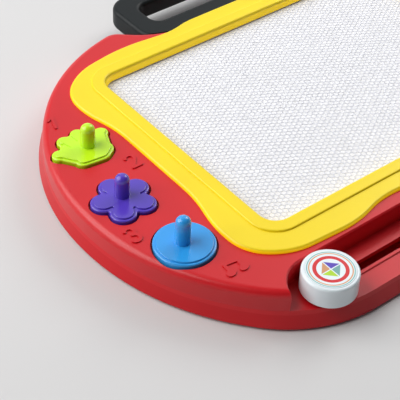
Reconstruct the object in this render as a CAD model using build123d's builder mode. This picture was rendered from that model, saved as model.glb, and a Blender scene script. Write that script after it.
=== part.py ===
from build123d import *
from math import acos, atan2, cos, degrees, hypot, radians, sin, tan
import os

os.makedirs("parts", exist_ok=True)

# Magnetic drawing board for a child, in millimetres.
# The origin is the underside of the middle foot, +Z is up, +Y points to the carry handle
# and +X runs along the eraser's ledge.

# Casing: its outline at the base, the flare of the skirt below the waist, and the shell
base_length = 439.0
base_depth = 307.0
side_flare = 3.0
end_flare = 5.5
cover_lift = 1.0
waist_height = 13.0
seam_drop = 2.5
face_height = 28.0
wall = 2.5
edge_radius = 5.0
skirt_radius = 1.2
over = 2.0
ease_share = 0.98

corner_shares = ((0.667, -1.000), (1.000, -0.459), (1.000, 0.363), (0.674, 0.932), (0.400, 1.014))
side_split_shares = (0.70, 0.41, 0.52, 0.53, 0.88, 0.30, 0.50)

# Notch for the carry handle
notch_half = 58.5
notch_depth = 23.5
cover_notch_depth = 9.0

# Screen window, its room to the casing's sides, front and back, and the yellow frame round it
side_room = 87.5
front_room = 67.0
back_room = 46.0
window_radius = 11.0
window_draft = 1.4
frame_side = 28.5
frame_end = 27.5
frame_wall = 2.5
flange_thickness = 2.6
flange_edge = 1.8
band_width = 9.2
band_rise = 1.2
band_radius = 20.0
band_edge = 1.0
frame_inner_edge = 1.6
frame_gap = 0.5
stake_diameter = 4.0
stake_head_diameter = 7.0
stake_head = 1.0
stake_gap = 0.2
stake_side = 10.5
stake_end = 11.0
stake_y_share = 0.656
stake_x_share = 0.465
frame_front_shares = (
    (0.962, 0.000),
    (0.962, 0.360),
    (1.008, 0.590),
    (1.003, 0.832),
    (0.851, 0.987),
    (0.521, 1.013),
    (0.368, 0.954),
    (0.241, 0.954),
    (0.114, 0.983),
    (0.000, 0.983),
)
frame_back_shares = (
    (0.962, 0.000),
    (0.962, 0.360),
    (1.008, 0.575),
    (1.000, 0.780),
    (0.860, 0.925),
    (0.600, 0.977),
    (0.385, 0.942),
    (0.315, 0.942),
    (0.230, 0.969),
    (0.000, 0.969),
)
frame_split_shares = (0.50, 0.45, 0.45, 0.50, 0.40, 0.55, 0.50, 0.50, 0.50)

# Screen sandwich
screen_height = 25.0
film = 0.4
core = 3.2
panel_lap = 10.0
panel_radius = 6.0
gasket_thickness = 0.6
gasket_width = 2.2
retainer_thickness = 2.5
retainer_lap = 3.5
retainer_side_gap = 5.5
retainer_end_gap = 0.5
retainer_side_rim = 4.0
retainer_end_rim = 4.5
retainer_radius = 8.0
retainer_screw_share = 0.473
small_screw_diameter = 2.5
small_head_diameter = 5.0
small_head = 1.4
small_screw_length = 5.0

# Ledge for the eraser knob, open at the front, and the slot with its raised rim
ledge_depth = 35.4
ledge_end_room = 7.4
ledge_front = 80.0
ledge_radius = 23.0
ledge_wall = 2.0
ledge_edge = 0.8
slot_width = 7.1
slot_end_gap = 0.4
slot_rim_width = 2.6
slot_rim_height = 1.0
slot_rim_angle = 30.0
ledge_edge_angle = 45.0

# Eraser
knob_diameter = 36.2
knob_height = 14.6
knob_gap = 0.3
knob_float = 2.5
knob_edge = 1.6
knob_wall = 2.0
knob_top = 3.2
knob_boss = 10.0
label_recess = 0.3
label_diameter = 31.0
label_thickness = 0.5
label_gap = 0.15
travel_past_window = 2.5
travel_left = 5.5
stem_offset = 2.65
stem_width = 6.2
carriage_width = 24.0
carriage_thickness = 4.0
carriage_front = 5.0
carriage_radius = 3.0
beam_front_gap = 1.75
beam_foot = 11.0
beam_screw_length = 6.0
beam_width = 10.0
beam_height = 4.5
beam_rib_width = 7.0
beam_rib_height = 2.1
magnet_width = 6.0
magnet_thickness = 1.0
magnet_gap = 0.4
running_gap = 0.3
rail_width = 4.0
rail_over = 2.5
rail_groove_depth = 1.6
rail_setback = 0.5
back_rail_inset = 2.0
back_rail_width = 3.0
beam_end = 3.0

# Stamps
stamp_rise = 2.0
stamp_sink = 4.0
stamp_gap = 1.2
stamp_rest = 0.3
tier_inset = 2.0
tier_rise = 0.9
tier_edge = 0.4
plate_edge = 1.0
peg_base_diameter = 10.2
peg_tip_diameter = 9.6
peg_dome_share = 0.92
stamp_magnet = 1.5
stamp_magnet_inset = 2.8
stamp_magnet_gap = 0.1
well_wall = 2.0
cusp_radius = 1.2

disc_side = 34.3
disc_y_share = -0.4135
disc_diameter = 39.4
disc_peg_height = 19.8
disc_peg_shift = (-0.6, 1.2)

flower_side = 28.2
flower_y_share = -0.0453
petal_count = 5
petal_diameter = 17.2
petal_ring_radius = 13.0
flower_heart_diameter = 22.0
flower_peg_height = 16.2
flower_peg_shift = (0.8, 2.6)

hand_side = 36.7
hand_y_share = 0.323
hand_size = 20.0
hand_peg_height = 16.5
hand_peg_shift = (3.0, 1.2)
hand_lobe_shares = (
    (-0.865, 0.195, 0.265),
    (-0.350, 0.670, 0.280),
    (0.215, 0.775, 0.255),
    (0.590, 0.670, 0.235),
    (0.900, 0.400, 0.250),
    (0.470, -0.310, 0.375),
    (0.250, -0.430, 0.390),
    (-0.375, -0.450, 0.290),
)
hand_web_shares = (0.190, 0.120, 0.100, 0.090, 0.055, 0.000, 0.000, 0.045)
crease_shares = (
    ((-0.480, 0.560), (-0.400, 0.260)),
    ((-0.070, 0.760), (-0.040, 0.420)),
    ((0.400, 0.720), (0.300, 0.420)),
)
crease_width = 1.0
crease_depth = 0.4

# Raised marks
mark_rise = 0.8
mark_height = 14.0
mark_width = 8.5
mark_stroke = 2.2
mark_flag = 3.4
one_side = 35.9
one_y_share = 0.568
one_tilt_angle = -20.0
two_side = 55.1
two_y_share = 0.142
two_start_angle = -30.0
two_sweep_angle = 190.0
two_foot_share = 0.87
two_waist_share = 1.5
three_side = 13.9
three_y_share = -0.2405
three_upper_angle = -90.0
three_lower_angle = -150.0
three_sweep_angle = 240.0
note_side = 46.9
note_y_share = -0.630
note_head_length = 7.0
note_head_width = 5.2
note_head_angle = 20.0
note_spacing = 9.4
note_stem = 7.4
note_slope = 0.5
note_tilt_angle = -2.7

# Pen and its tray
pen_side = 36.5
pen_length = 128.0
pen_diameter = 13.0
pen_waist_diameter = 11.6
pen_nose_length = 20.0
pen_neck_diameter = 7.6
pen_cap_length = 9.0
pen_cap_edge = 3.0
pen_magnet_diameter = 5.0
pen_magnet_reach = 2.5
pen_magnet_length = 9.0
pen_magnet_edge = 0.6
pen_spigot_diameter = 8.0
pen_spigot_length = 8.0
pen_fit = 0.1
pen_nose_bulge = 0.6
tray_width = 19.0
tray_slack = 8.0
tray_depth = 8.5
tray_wall = 2.0
scoop_diameter = 34.0
saddle_width = 6.0
saddle_height = 4.0
saddle_offset = 40.0

# Carry handle
handle_half = 68.0
handle_out = 37.0
handle_bar = 16.5
handle_top = 26.0
handle_gap = 0.4
handle_radius = 17.0
handle_edge = 3.0
handle_wall = 2.5
handle_split = 18.0
grip_half = 50.0
grip_depth = 25.5
grip_radius = 8.0
grip_edge = 3.4
handle_screw_x = 38.0
handle_screw_setback = 7.0

# Screws, bosses and feet
screw_diameter = 3.0
screw_head_diameter = 6.0
screw_head = 2.0
screw_length = 15.0
screw_gap = 0.05
screw_tip_gap = 1.5
head_gap = 0.4
cross_width = 0.8
cross_depth = 0.9
cross_share = 0.6
post_diameter = 10.0
boss_diameter = 7.0
screw_shares = (
    (-1, 0.531, -0.662),
    (1, 0.531, -0.662),
    (-1, 0.669, -0.236),
    (1, 0.669, -0.236),
    (-1, 0.680, 0.135),
    (1, 0.669, 0.236),
    (-1, 0.566, 0.669),
    (1, 0.566, 0.669),
    (-1, 1.187, 0.899),
    (1, 1.187, 0.899),
)
foot_diameter = 16.0
foot_sink = 1.2
foot_edge = 0.4
foot_gap = 0.1
foot_x_share = 0.693
foot_y_share = 0.642
rib_thickness = 1.6
rib_height = 4.0
rib_over = 4.0
rib_end = 8.5
rib_count = 5
cross_rib_inset = 9.0
cross_rib_over = 1.5
rib_shift = 4.5
cross_rib_count = 5

# Levels and places worked out from the sizes above
waist_length = base_length - 2 * side_flare
waist_depth = base_depth - 2 * end_flare
waist_side = waist_length / 2
waist_end = waist_depth / 2
notch_floor = waist_end - notch_depth
cover_notch_floor = waist_end - cover_notch_depth
window_length = waist_length - 2 * side_room
window_depth = waist_depth - front_room - back_room
window_y = (front_room - back_room) / 2
frame_length = window_length + 2 * frame_side
frame_depth = window_depth + 2 * frame_end
seam_height = waist_height - seam_drop
skirt_height = waist_height - cover_lift
seam_share = seam_drop / skirt_height
seam_length = waist_length + 2 * side_flare * seam_share
seam_depth = waist_depth + 2 * end_flare * seam_share
cover_floor = cover_lift + wall
ceiling = face_height - wall
core_top = screen_height - film
core_bottom = core_top - core
panel_bottom = core_bottom - film
panel_length = window_length + 2 * panel_lap
panel_depth = window_depth + 2 * panel_lap
frame_foot = screen_height + gasket_thickness
flange_top = face_height + flange_thickness
band_top = flange_top + band_rise
plate_bottom = face_height - stamp_sink
plate_top = face_height + stamp_rise
tier_top = plate_top + tier_rise
well_floor = plate_bottom - stamp_rest
ledge_floor = waist_height
ledge_back = ledge_depth - waist_end
half_travel = window_length / 2 + travel_past_window
knob_radius = knob_diameter / 2
ledge_half = half_travel + knob_radius + ledge_end_room
knob_x = travel_left - half_travel
knob_y = ledge_back - knob_gap - knob_radius
knob_bottom = ledge_floor + knob_float
knob_face = knob_bottom + knob_height
knob_inside = knob_face - knob_top
stem_y = knob_y + stem_offset
slot_length = 2 * half_travel + stem_width + 2 * slot_end_gap
carriage_top = seam_height - running_gap
carriage_bottom = carriage_top - carriage_thickness
retainer_bottom = panel_bottom - retainer_thickness
retainer_screw_x = panel_length / 2 + boss_diameter / 2 + retainer_side_gap
retainer_screw_y = panel_depth / 2 + boss_diameter / 2 + retainer_end_gap
retainer_screw_mid_x = retainer_screw_share * retainer_screw_x
retainer_length = 2 * (retainer_screw_x + retainer_side_rim)
retainer_depth = 2 * (retainer_screw_y + retainer_end_rim)
stake_x = frame_length / 2 - stake_side
stake_y = stake_y_share * window_depth / 2
stake_mid_x = stake_x_share * window_length / 2
stake_mid_y = frame_depth / 2 - stake_end
stake_bottom = ceiling - stake_head
band_length = window_length + 2 * (window_draft + band_width)
band_depth = window_depth + 2 * (window_draft + band_width)
magnet_top = panel_bottom - magnet_gap
magnet_bottom = magnet_top - magnet_thickness
rib_bottom = magnet_bottom - beam_rib_height
beam_bottom = rib_bottom - beam_height
retainer_hole_length = panel_length - 2 * retainer_lap
retainer_hole_depth = panel_depth - 2 * retainer_lap
beam_front = ledge_back + ledge_wall + beam_front_gap
carriage_back = beam_front + beam_foot
beam_screw_y = beam_front + beam_foot / 2
rail_y = beam_screw_y - rail_setback
rail_length = 2 * half_travel + carriage_width + 2 * rail_over
back_rail_y = window_y + panel_depth / 2 - back_rail_inset
back_rail_top = beam_bottom - running_gap
front_rail_top = carriage_bottom + rail_groove_depth - running_gap
beam_back = back_rail_y + back_rail_width / 2 + beam_end
beam_rib_depth = retainer_hole_depth - 2 * (panel_radius + running_gap)
rib_length = rail_length + 2 * rib_over
rib_span = window_depth + 2 * rib_end
cross_rib_span = window_length - 2 * cross_rib_inset
cross_rib_length = window_depth + 2 * cross_rib_over
rib_y = window_y - rib_shift
pen_x = waist_side - pen_side
tray_floor = face_height - tray_depth
tray_length = pen_length + 2 * tray_slack
pen_radius = pen_diameter / 2
pen_z = tray_floor + saddle_height / 2 + pen_radius
head_bottom = cover_floor
head_seat = head_bottom + screw_head
shank_top = head_seat + screw_length
knob_screw_seat = carriage_bottom + screw_head
small_head_seat = retainer_bottom + small_head
pen_tip = -pen_length / 2
pen_end = pen_length / 2
nose_front = pen_tip + pen_magnet_reach
nose_back = nose_front + pen_nose_length
cap_front = pen_end - pen_cap_length
handle_reach = waist_end + handle_out
grip_far = handle_reach - handle_bar
grip_near = grip_far - grip_depth
handle_screw_y = notch_floor + handle_screw_setback


def eased_radii(points, split_shares):
    """Radii that round the corners of an open line, each side shared out between its two ends."""
    radii = []
    for index in range(1, len(points) - 1):
        side_in = Vector(*points[index]) - Vector(*points[index - 1])
        side_out = Vector(*points[index + 1]) - Vector(*points[index])
        room_in = side_in.length * (1 - split_shares[index - 1])
        room_out = side_out.length * split_shares[index]
        half_turn = radians(side_in.get_angle(side_out)) / 2
        radii.append(ease_share * min(room_in, room_out) / tan(half_turn))
    return radii


def casing_plan(length, depth, notch, inset=0.0):
    """Face inside the casing's outline: its left half, front to notch, and the mirror image."""
    corners = [(-x * length / 2, y * depth / 2) for x, y in corner_shares]
    points = [(0, -depth / 2), *corners, (-notch_half, notch), (0, notch)]
    with BuildSketch() as plan:
        with BuildLine():
            FilletPolyline(*points, radius=eased_radii(points, side_split_shares))
            mirror(about=Plane.YZ)
        make_face()
        if inset:
            offset(amount=-inset)
    return plan.sketch


def frame_plan():
    """Face inside the frame's lobed outline, pinched at the middle of each side."""
    back = [(-x * frame_length / 2, y * frame_depth / 2) for x, y in frame_back_shares]
    front = [(-x * frame_length / 2, -y * frame_depth / 2) for x, y in frame_front_shares]
    with BuildSketch() as plan:
        with BuildLine():
            FilletPolyline(*back, radius=eased_radii(back, frame_split_shares))
            FilletPolyline(*front, radius=eased_radii(front, frame_split_shares))
            mirror(about=Plane.YZ)
        make_face()
    return plan.sketch


def window_face(grow, radius):
    """Window of the screen, grown on every side."""
    RectangleRounded(window_length + 2 * grow, window_depth + 2 * grow, radius)


def ledge_face(grow):
    """Plan of the ledge, round at its back corners and open to the front."""
    reach = ledge_depth + ledge_front
    with Locations((0, ledge_back - reach / 2)):
        RectangleRounded(2 * (ledge_half + grow), reach + 2 * grow, ledge_radius + grow)


def tray_face(grow):
    """Plan of the pen's tray with its round finger scoop."""
    with Locations((pen_x, 0)):
        SlotOverall(tray_length + 2 * grow, tray_width + 2 * grow, rotation=90)
        Circle(scoop_diameter / 2 + grow)


def disc_face(grow):
    """Outline of the disc stamp about its own middle."""
    Circle(disc_diameter / 2 + grow)


def flower_face(grow):
    """Outline of the flower stamp: petals round a heart, one petal towards +Y."""
    Circle(flower_heart_diameter / 2 + grow)
    with PolarLocations(petal_ring_radius, petal_count, start_angle=90):
        Circle(petal_diameter / 2 + grow)


def tapered_web(first, second, grow):
    """Band between two circles, given as x, y and radius, along their outer tangents."""
    x1, y1, r1 = first
    x2, y2, r2 = second
    heading = atan2(y2 - y1, x2 - x1)
    spread = acos((r1 - r2) / hypot(x2 - x1, y2 - y1))
    corners = []
    for x, y, radius, turn in ((x1, y1, r1, 1), (x2, y2, r2, 1), (x2, y2, r2, -1), (x1, y1, r1, -1)):
        angle = heading + turn * spread
        corners.append((x + (radius + grow) * cos(angle), y + (radius + grow) * sin(angle)))
    Polygon(*corners, align=None)


def hand_face(grow):
    """Outline of the hand stamp: round lobes in a ring, each joined to the next by a web."""
    lobes = [(x * hand_size, y * hand_size, r * hand_size) for x, y, r in hand_lobe_shares]
    for x, y, radius in lobes:
        with Locations((x, y)):
            Circle(radius + grow)
    Polygon(*[(x, y) for x, y, radius in lobes], align=None)
    for first, second, share in zip(lobes, lobes[1:] + lobes[:1], hand_web_shares):
        web = [(x, y, radius - share * hand_size) for x, y, radius in (first, second)]
        if min(web[0][2], web[1][2]) + grow > 0:
            tapered_web(*web, grow)


def stamp_plan(stamp_face, grow):
    """Outline of a stamp grown on every side, with its inward corners rounded."""
    with BuildSketch() as plan:
        stamp_face(grow + cusp_radius)
        offset(amount=-cusp_radius)
    return plan.sketch


def stroke(start, end, width):
    """Straight stroke of a mark or crease, with round ends."""
    run = Vector(*end) - Vector(*start)
    with Locations((Vector(*start) + Vector(*end)) * 0.5):
        SlotCenterToCenter(run.length, width, rotation=degrees(atan2(run.Y, run.X)))


def curl(height, start_angle, sweep_angle):
    """Round stroke of a raised mark about a middle at the given height."""
    radius = (mark_width - mark_stroke) / 2
    middle = Plane((0, height, 0))
    arc = Edge.make_circle(radius, middle, start_angle, start_angle + sweep_angle)
    SlotArc(arc, mark_stroke)


def one_face():
    """Numeral 1."""
    top = (mark_height - mark_stroke) / 2
    stroke((0, -top), (0, top), mark_stroke)
    stroke((0, top), (-mark_flag, top - mark_flag), mark_stroke)


def two_face():
    """Numeral 2."""
    top = (mark_height - mark_stroke) / 2
    side = (mark_width - mark_stroke) / 2
    curl(top - side, two_start_angle, two_sweep_angle)
    stroke((side * two_foot_share, top - side * two_waist_share), (-side, -top), mark_stroke)
    stroke((-side, -top), (side, -top), mark_stroke)


def three_face():
    """Numeral 3."""
    side = (mark_width - mark_stroke) / 2
    curl(side, three_upper_angle, three_sweep_angle)
    curl(-side, three_lower_angle, three_sweep_angle)


def note_face():
    """Two music notes joined by a beam."""
    tops = []
    for side in (-1, 1):
        x = side * note_spacing / 2
        with Locations((x, -note_stem / 2)):
            Ellipse(note_head_length / 2, note_head_width / 2, rotation=note_head_angle)
        tops.append((x, note_stem / 2 - side * note_slope))
        stroke((x, -note_stem / 2), tops[-1], mark_stroke)
    stroke(*tops, mark_stroke)


def cross_screws(places, seat, way, shank, head, head_height, length):
    """Cross-head screws on their seats, with the shanks up for way 1 and down for way -1."""
    head_side = Align.MAX if way > 0 else Align.MIN
    shank_side = Align.MIN if way > 0 else Align.MAX
    with Locations(*[(x, y, seat) for x, y in places]):
        Cylinder(head / 2, head_height, align=(Align.CENTER, Align.CENTER, head_side))
        Cylinder(shank / 2, length, align=(Align.CENTER, Align.CENTER, shank_side))
    with Locations(*[(x, y, seat - way * head_height) for x, y in places]):
        for turn in (0, 90):
            Box(
                head * cross_share,
                cross_width,
                cross_depth,
                rotation=(0, 0, turn),
                align=(Align.CENTER, Align.CENTER, shank_side),
                mode=Mode.SUBTRACT,
            )


def handle_outline():
    """Face of the whole carry handle with its grip, before the casing's notch is taken off."""
    reach = handle_reach - notch_floor
    with BuildSketch() as plan:
        with Locations((0, notch_floor + reach / 2)):
            RectangleRounded(2 * handle_half, reach, handle_radius)
        with Locations((0, (grip_near + grip_far) / 2)):
            RectangleRounded(2 * grip_half, grip_depth, grip_radius, mode=Mode.SUBTRACT)
    return plan.sketch


def notch_plan():
    """Face of the casing at its seam, grown by the handle's gap."""
    return casing_plan(seam_length, seam_depth, notch_floor, -handle_gap)


def handle_hollow():
    """Face inside the carry handle's walls."""
    with BuildSketch() as plan:
        add(handle_outline())
        add(notch_plan(), mode=Mode.SUBTRACT)
        offset(amount=-handle_wall)
    return plan.sketch


stamps = (
    ("disc", disc_face, disc_side - waist_side, disc_y_share * waist_end),
    ("flower", flower_face, flower_side - waist_side, flower_y_share * waist_end),
    ("hand", hand_face, hand_side - waist_side, hand_y_share * waist_end),
)
stamp_details = (
    (disc_peg_height, disc_peg_shift, ()),
    (flower_peg_height, flower_peg_shift, ()),
    (hand_peg_height, hand_peg_shift, crease_shares),
)
marks = (
    (one_face, one_side - waist_side, one_y_share * waist_end, one_tilt_angle),
    (two_face, two_side - waist_side, two_y_share * waist_end, 0),
    (three_face, three_side - waist_side, three_y_share * waist_end, 0),
    (note_face, note_side - waist_side, note_y_share * waist_end, note_tilt_angle),
)
screw_places = [(way * (waist_side - x * side_room), y * waist_end) for way, x, y in screw_shares]
handle_screw_places = ((-handle_screw_x, handle_screw_y), (handle_screw_x, handle_screw_y))
retainer_screw_places = (
    *[(sx * retainer_screw_x, window_y + sy * retainer_screw_y) for sx in (-1, 1) for sy in (-1, 0, 1)],
    *[(sx * retainer_screw_mid_x, window_y + sy * retainer_screw_y) for sx in (-1, 1) for sy in (-1, 1)],
)
stake_places = (
    *[(sx * stake_x, window_y + sy * stake_y) for sx in (-1, 1) for sy in (-1, 1)],
    *[(sx * stake_mid_x, window_y + sy * stake_mid_y) for sx in (-1, 1) for sy in (-1, 1)],
)
foot_places = (
    (0, 0),
    *[(sx * foot_x_share * waist_side, sy * foot_y_share * waist_end) for sx in (-1, 1) for sy in (-1, 1)],
)

# Room inside the upper shell, less the walls of the ledge, the wells and the tray
with BuildPart() as cavity:
    with BuildSketch(Plane.XY.offset(seam_height)):
        add(casing_plan(waist_length, waist_depth, notch_floor, wall))
    extrude(amount=ceiling - seam_height)
    with BuildSketch(Plane.XY.offset(seam_height)):
        ledge_face(ledge_wall)
    extrude(amount=ceiling - seam_height, mode=Mode.SUBTRACT)
    with BuildSketch(Plane.XY.offset(tray_floor - tray_wall)):
        tray_face(tray_wall)
    extrude(amount=ceiling - tray_floor + tray_wall, mode=Mode.SUBTRACT)
    for name, stamp_face, x, y in stamps:
        with BuildSketch(Plane((x, y, well_floor - well_wall))):
            add(stamp_plan(stamp_face, stamp_gap + well_wall))
        extrude(amount=ceiling - well_floor + well_wall, mode=Mode.SUBTRACT)

# Upper shell
with BuildPart() as top_casing:
    with BuildSketch(Plane.XY.offset(waist_height)):
        add(casing_plan(waist_length, waist_depth, notch_floor))
    extrude(amount=face_height - waist_height)
    fillet(top_casing.faces().sort_by(Axis.Z)[-1].edges(), edge_radius)
    with BuildSketch(Plane.XY.offset(seam_height)):
        add(casing_plan(seam_length, seam_depth, notch_floor))
    with BuildSketch(Plane.XY.offset(waist_height)):
        add(casing_plan(waist_length, waist_depth, notch_floor))
    loft(ruled=True)
    add(cavity.part, mode=Mode.SUBTRACT)
    # Window for the frame, and the holes for its stakes
    with BuildSketch(Plane((0, window_y, ceiling - over))):
        window_face(frame_wall + frame_gap, window_radius + frame_wall + frame_gap)
    extrude(amount=wall + 2 * over, mode=Mode.SUBTRACT)
    with BuildSketch(Plane.XY.offset(ceiling - over)):
        with Locations(*stake_places):
            Circle(stake_diameter / 2 + stake_gap)
    extrude(amount=wall + 2 * over, mode=Mode.SUBTRACT)
    # Ledge with its bevelled rim, and the slot for the knob's stem in a low raised rim
    with BuildSketch(Plane.XY.offset(ledge_floor)):
        ledge_face(0)
    extrude(amount=face_height - ledge_floor + over, mode=Mode.SUBTRACT)
    with BuildSketch(Plane.XY.offset(face_height - ledge_edge)):
        ledge_face(0)
    extrude(amount=ledge_edge + over, taper=-ledge_edge_angle, mode=Mode.SUBTRACT)
    with BuildSketch(Plane.XY.offset(ledge_floor)):
        with Locations((0, stem_y)):
            SlotOverall(slot_length + 2 * slot_rim_width, slot_width + 2 * slot_rim_width)
    extrude(amount=slot_rim_height, taper=slot_rim_angle)
    with BuildSketch(Plane.XY.offset(seam_height - over)):
        with Locations((0, stem_y)):
            SlotOverall(slot_length, slot_width)
    extrude(amount=seam_drop + slot_rim_height + 2 * over, mode=Mode.SUBTRACT)
    # Wells for the stamps
    for name, stamp_face, x, y in stamps:
        with BuildSketch(Plane((x, y, well_floor))):
            add(stamp_plan(stamp_face, stamp_gap))
        extrude(amount=face_height - well_floor + over, mode=Mode.SUBTRACT)
    # Tray for the pen, with two low saddles under the barrel
    with BuildSketch(Plane.XY.offset(tray_floor)):
        tray_face(0)
    extrude(amount=tray_depth + over, mode=Mode.SUBTRACT)
    with BuildSketch(Plane.XY.offset(tray_floor)):
        with Locations((pen_x, saddle_offset), (pen_x, -saddle_offset)):
            Rectangle(tray_width, saddle_width)
    extrude(amount=saddle_height)
    with Locations(Location((pen_x, 0, pen_z), (90, 0, 0))):
        Cylinder(pen_radius + running_gap, tray_length - tray_width, mode=Mode.SUBTRACT)
    # Raised marks on the face
    for mark_face, x, y, tilt in marks:
        with BuildSketch(Plane(Location((x, y, face_height), (0, 0, tilt)))):
            mark_face()
        extrude(amount=mark_rise)
    # Bosses with pilot holes for the casing screws and for the retainer's screws
    with BuildSketch(Plane.XY.offset(seam_height)):
        with Locations(*screw_places):
            Circle(boss_diameter / 2)
    extrude(amount=ceiling - seam_height)
    with BuildSketch(Plane.XY.offset(panel_bottom)):
        with Locations(*retainer_screw_places):
            Circle(boss_diameter / 2)
    extrude(amount=ceiling - panel_bottom)
    with BuildSketch(Plane.XY.offset(seam_height)):
        with Locations(*screw_places):
            Circle(screw_diameter / 2 + screw_gap)
    extrude(amount=shank_top + screw_tip_gap - seam_height, mode=Mode.SUBTRACT)
    with BuildSketch(Plane.XY.offset(panel_bottom)):
        with Locations(*retainer_screw_places):
            Circle(small_screw_diameter / 2 + screw_gap)
    extrude(amount=ceiling - panel_bottom, mode=Mode.SUBTRACT)
top_casing.part.label = "top_casing"
export_step(top_casing.part, "parts/top_casing.step")

# Lower shell: a shallow tray with pillars for the screws and a grid of ribs on its floor
with BuildPart() as bottom_cover:
    with BuildSketch(Plane.XY.offset(cover_lift)):
        add(casing_plan(base_length, base_depth, cover_notch_floor))
    with BuildSketch(Plane.XY.offset(seam_height)):
        add(casing_plan(seam_length, seam_depth, cover_notch_floor))
    loft(ruled=True)
    fillet(bottom_cover.faces().sort_by(Axis.Z)[0].edges(), skirt_radius)
    with BuildSketch(Plane.XY.offset(cover_floor)):
        add(casing_plan(seam_length, seam_depth, cover_notch_floor, wall))
    extrude(amount=seam_height - cover_floor, mode=Mode.SUBTRACT)
    with BuildSketch(Plane.XY.offset(cover_floor)):
        with Locations((0, rib_y)):
            with GridLocations(0, rib_span / (rib_count - 1), 1, rib_count):
                Rectangle(rib_length, rib_thickness)
            with GridLocations(cross_rib_span / (cross_rib_count - 1), 0, cross_rib_count, 1):
                Rectangle(rib_thickness, cross_rib_length)
    extrude(amount=rib_height)
    with BuildSketch(Plane.XY.offset(cover_floor)):
        with Locations(*screw_places, *handle_screw_places):
            Circle(post_diameter / 2)
    extrude(amount=seam_height - cover_floor)
    with Locations(*[(x, y, cover_lift) for x, y in (*screw_places, *handle_screw_places)]):
        Cylinder(
            screw_head_diameter / 2 + head_gap,
            head_seat - cover_lift,
            align=(Align.CENTER, Align.CENTER, Align.MIN),
            mode=Mode.SUBTRACT,
        )
        Cylinder(
            screw_diameter / 2 + screw_gap,
            seam_height,
            align=(Align.CENTER, Align.CENTER, Align.MIN),
            mode=Mode.SUBTRACT,
        )
    with Locations(*[(x, y, cover_lift) for x, y in foot_places]):
        Cylinder(
            foot_diameter / 2 + foot_gap,
            foot_sink,
            align=(Align.CENTER, Align.CENTER, Align.MIN),
            mode=Mode.SUBTRACT,
        )
bottom_cover.part.label = "bottom_cover"
export_step(bottom_cover.part, "parts/bottom_cover.step")

# Screen frame: a lobed flange on the face, a raised band and a wall down to the screen
with BuildPart() as screen_frame:
    with BuildSketch(Plane((0, window_y, face_height))):
        add(frame_plan())
    extrude(amount=flange_thickness)
    fillet(screen_frame.faces().sort_by(Axis.Z)[-1].edges(), flange_edge)
    with BuildSketch(Plane((0, window_y, flange_top))):
        RectangleRounded(band_length, band_depth, band_radius)
    extrude(amount=band_rise)
    fillet(screen_frame.faces().sort_by(Axis.Z)[-1].edges(), band_edge)
    with BuildSketch(Plane((0, window_y, frame_foot))):
        window_face(frame_wall, window_radius + frame_wall)
    extrude(amount=face_height - frame_foot)
    with BuildSketch(Plane((0, window_y, frame_foot))):
        window_face(0, window_radius)
    with BuildSketch(Plane((0, window_y, band_top))):
        window_face(window_draft, window_radius + window_draft)
    loft(ruled=True, mode=Mode.SUBTRACT)
    fillet(screen_frame.faces().sort_by(Axis.Z)[-1].inner_wires().edges(), frame_inner_edge)
    with BuildSketch(Plane.XY.offset(stake_bottom)):
        with Locations(*stake_places):
            Circle(stake_diameter / 2)
    extrude(amount=face_height - stake_bottom)
    with BuildSketch(Plane.XY.offset(stake_bottom)):
        with Locations(*stake_places):
            Circle(stake_head_diameter / 2)
    extrude(amount=stake_head)
screen_frame.part.label = "screen_frame"
export_step(screen_frame.part, "parts/screen_frame.step")

# Soft ring between the frame's wall and the screen
with BuildPart() as screen_gasket:
    with BuildSketch(Plane((0, window_y, screen_height))):
        window_face(frame_wall, window_radius + frame_wall)
        RectangleRounded(
            window_length + 2 * (frame_wall - gasket_width),
            window_depth + 2 * (frame_wall - gasket_width),
            window_radius + frame_wall - gasket_width,
            mode=Mode.SUBTRACT,
        )
    extrude(amount=gasket_thickness)
screen_gasket.part.label = "screen_gasket"
export_step(screen_gasket.part, "parts/screen_gasket.step")

# Layers of the drawing panel, front to back
layers = (
    ("screen_front_sheet", core_top, film),
    ("honeycomb_core", core_bottom, core),
    ("screen_back_sheet", panel_bottom, film),
)
for name, bottom, thickness in layers:
    with BuildPart() as layer:
        with BuildSketch(Plane((0, window_y, bottom))):
            RectangleRounded(panel_length, panel_depth, panel_radius)
        extrude(amount=thickness)
    layer.part.label = name
    export_step(layer.part, f"parts/{name}.step")

# Ring that holds the drawing panel up against the gasket
with BuildPart() as panel_retainer:
    with BuildSketch(Plane((0, window_y, retainer_bottom))):
        RectangleRounded(retainer_length, retainer_depth, retainer_radius)
        RectangleRounded(retainer_hole_length, retainer_hole_depth, panel_radius, mode=Mode.SUBTRACT)
    extrude(amount=retainer_thickness)
    with BuildSketch(Plane.XY.offset(retainer_bottom)):
        with Locations(*retainer_screw_places):
            Circle(small_screw_diameter / 2 + screw_gap)
    extrude(amount=retainer_thickness, mode=Mode.SUBTRACT)
    with BuildSketch(Plane.XY.offset(retainer_bottom)):
        with Locations(*retainer_screw_places):
            Circle(small_head_diameter / 2 + screw_gap)
    extrude(amount=small_head, mode=Mode.SUBTRACT)
panel_retainer.part.label = "panel_retainer"
export_step(panel_retainer.part, "parts/panel_retainer.step")

with BuildPart() as retainer_screws:
    cross_screws(
        retainer_screw_places,
        small_head_seat,
        1,
        small_screw_diameter,
        small_head_diameter,
        small_head,
        small_screw_length,
    )
retainer_screws.part.label = "retainer_screws"
export_step(retainer_screws.part, "parts/retainer_screws.step")

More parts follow.
